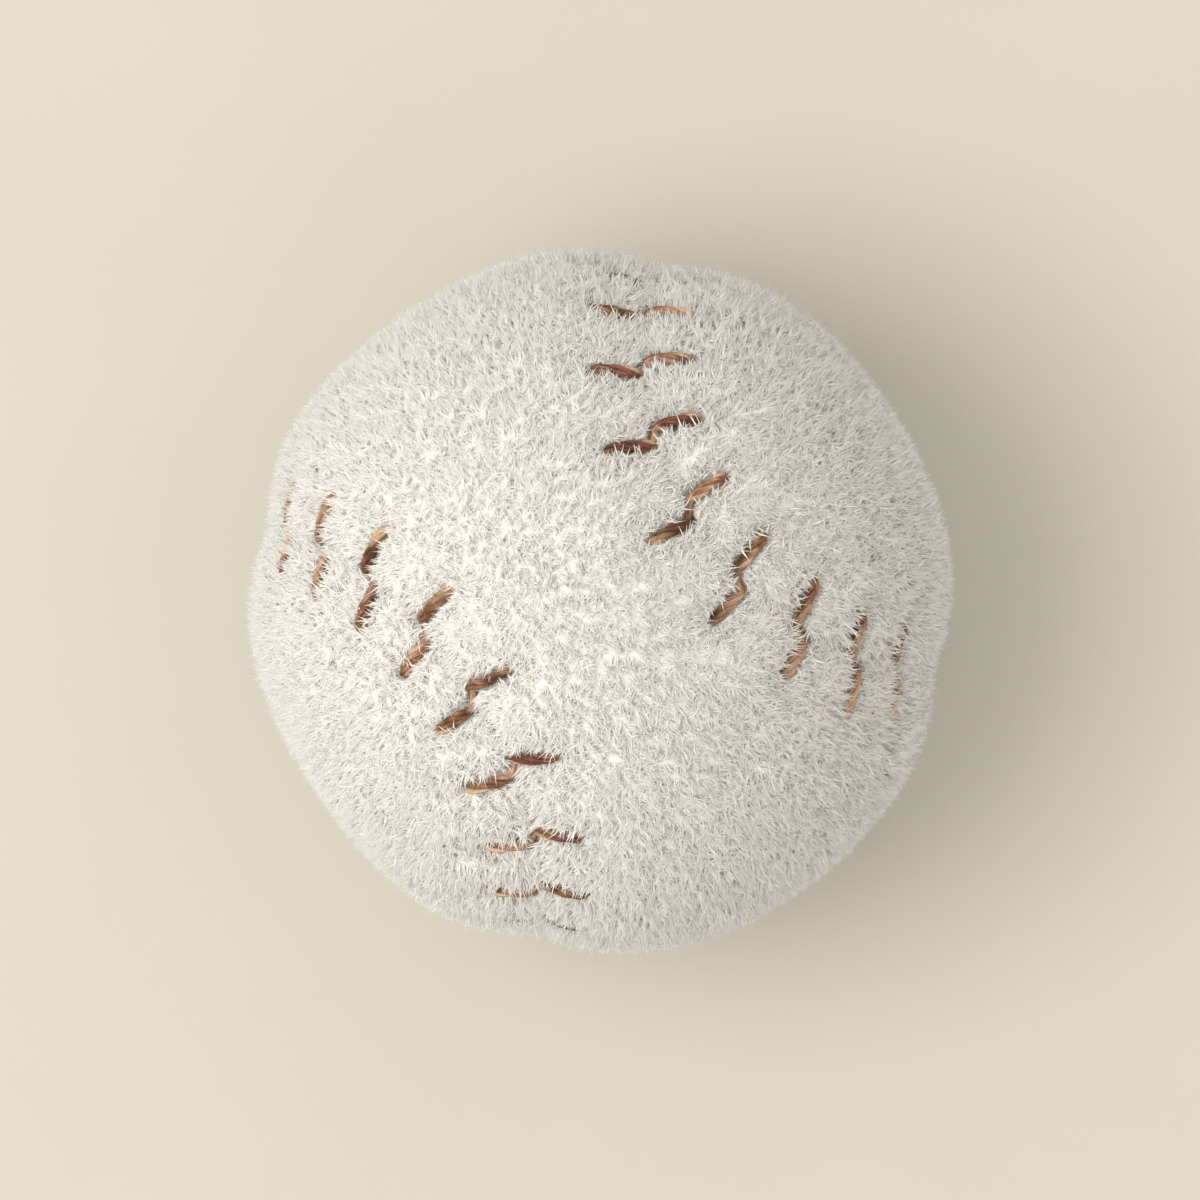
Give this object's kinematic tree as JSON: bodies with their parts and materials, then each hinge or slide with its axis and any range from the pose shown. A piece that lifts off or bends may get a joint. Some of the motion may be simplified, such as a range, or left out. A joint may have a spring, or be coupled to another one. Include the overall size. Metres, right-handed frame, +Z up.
{
  "type": "plush ball",
  "caption": "Soft round play ball: interlocking figure-eight plush panels sewn edge to edge over fibre filling, with yarn stitches across the curved seam.",
  "frame": {"origin": "centre of the small flat foot that the ball is pressed to where it stands", "axes": "+Z up through the waist of the upper cover panel; the seam crosses the ball's equator on the X and Y axes"},
  "size_m": [0.0826, 0.083, 0.0815],
  "materials": {
    "plush_cover": "short dense off-white plush pile",
    "fibre_filling": "loose white polyester fibre",
    "seam_thread": "twisted cream sewing thread",
    "lacing_yarn": "soft twisted brown yarn"
  },
  "bodies": {
    "root": {"cover_panel_top": "plush_cover", "cover_panel_bottom": "plush_cover", "fibre_filling": "fibre_filling", "seam_thread": "seam_thread", "lace_stitch_01": "lacing_yarn", "lace_stitch_02": "lacing_yarn", "lace_stitch_03": "lacing_yarn", "lace_stitch_04": "lacing_yarn", "lace_stitch_05": "lacing_yarn", "lace_stitch_06": "lacing_yarn", "lace_stitch_07": "lacing_yarn", "lace_stitch_08": "lacing_yarn", "lace_stitch_09": "lacing_yarn", "lace_stitch_10": "lacing_yarn", "lace_stitch_11": "lacing_yarn", "lace_stitch_12": "lacing_yarn", "lace_stitch_13": "lacing_yarn", "lace_stitch_14": "lacing_yarn", "lace_stitch_15": "lacing_yarn", "lace_stitch_16": "lacing_yarn", "lace_stitch_17": "lacing_yarn", "lace_stitch_18": "lacing_yarn", "lace_stitch_19": "lacing_yarn", "lace_stitch_20": "lacing_yarn", "lace_stitch_21": "lacing_yarn", "lace_stitch_22": "lacing_yarn", "lace_stitch_23": "lacing_yarn", "lace_stitch_24": "lacing_yarn", "lace_stitch_25": "lacing_yarn", "lace_stitch_26": "lacing_yarn", "lace_stitch_27": "lacing_yarn", "lace_stitch_28": "lacing_yarn", "lace_stitch_29": "lacing_yarn", "lace_stitch_30": "lacing_yarn", "lace_stitch_31": "lacing_yarn", "lace_stitch_32": "lacing_yarn", "lace_stitch_33": "lacing_yarn", "lace_stitch_34": "lacing_yarn", "lace_stitch_35": "lacing_yarn", "lace_stitch_36": "lacing_yarn", "lace_stitch_37": "lacing_yarn", "lace_stitch_38": "lacing_yarn", "lace_stitch_39": "lacing_yarn", "lace_stitch_40": "lacing_yarn", "lace_stitch_41": "lacing_yarn", "lace_stitch_42": "lacing_yarn"}
  },
  "joints": []
}
